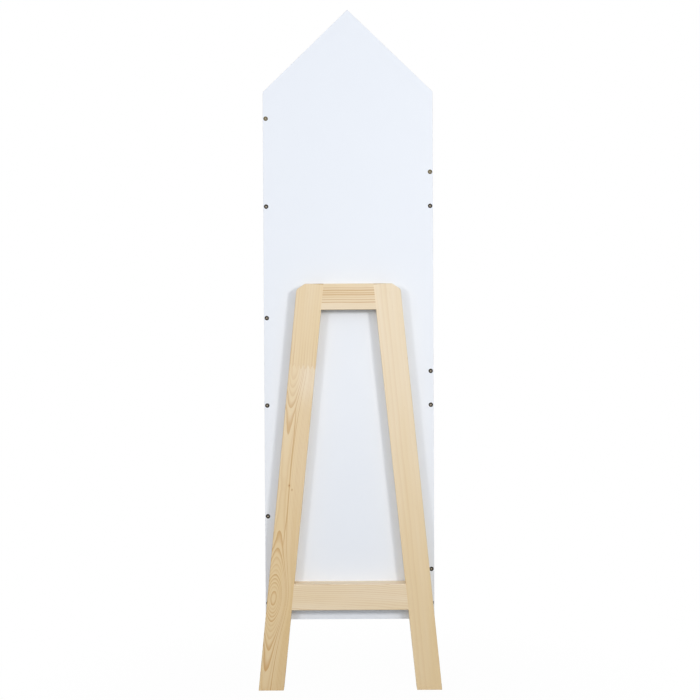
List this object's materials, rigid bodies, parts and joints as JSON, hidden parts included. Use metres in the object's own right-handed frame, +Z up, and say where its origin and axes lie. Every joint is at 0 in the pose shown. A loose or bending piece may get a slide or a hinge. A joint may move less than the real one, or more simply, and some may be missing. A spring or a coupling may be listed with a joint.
{
  "type": "house-shaped bookshelf",
  "caption": "Tall, narrow children's bookshelf with a gabled white back panel, sloping front-facing book pockets and a splayed pine stand behind.",
  "frame": {"origin": "on the floor, midway between the two feet and midway through the whole depth", "axes": "+Z up, +Y towards the back with the pine stand, -Y the way the pockets face, +X to the right of someone in front of the pockets, where the tall cheeks are"},
  "size_m": [0.323, 0.1349, 1.1977],
  "materials": {
    "white_lacquer": "cool white satin lacquer on board",
    "pine": "planed clear pine, thin matt varnish",
    "bronze_steel": "dark bronze plated",
    "birch": "raw turned birch"
  },
  "bodies": {
    "root": {"back_panel": "white_lacquer", "lower_shelf": "white_lacquer", "lower_tall_cheek": "white_lacquer", "lower_short_cheek": "white_lacquer", "lower_front_board": "white_lacquer", "middle_shelf": "white_lacquer", "middle_tall_cheek": "white_lacquer", "middle_short_cheek": "white_lacquer", "middle_front_board": "white_lacquer", "upper_shelf": "white_lacquer", "upper_tall_cheek": "white_lacquer", "upper_short_cheek": "white_lacquer", "upper_front_board": "white_lacquer", "left_leg": "pine", "right_leg": "pine", "top_rail": "pine", "lower_rail": "pine", "cheek_screws": "bronze_steel", "frame_screws": "bronze_steel", "rail_dowels": "birch"}
  },
  "joints": []
}
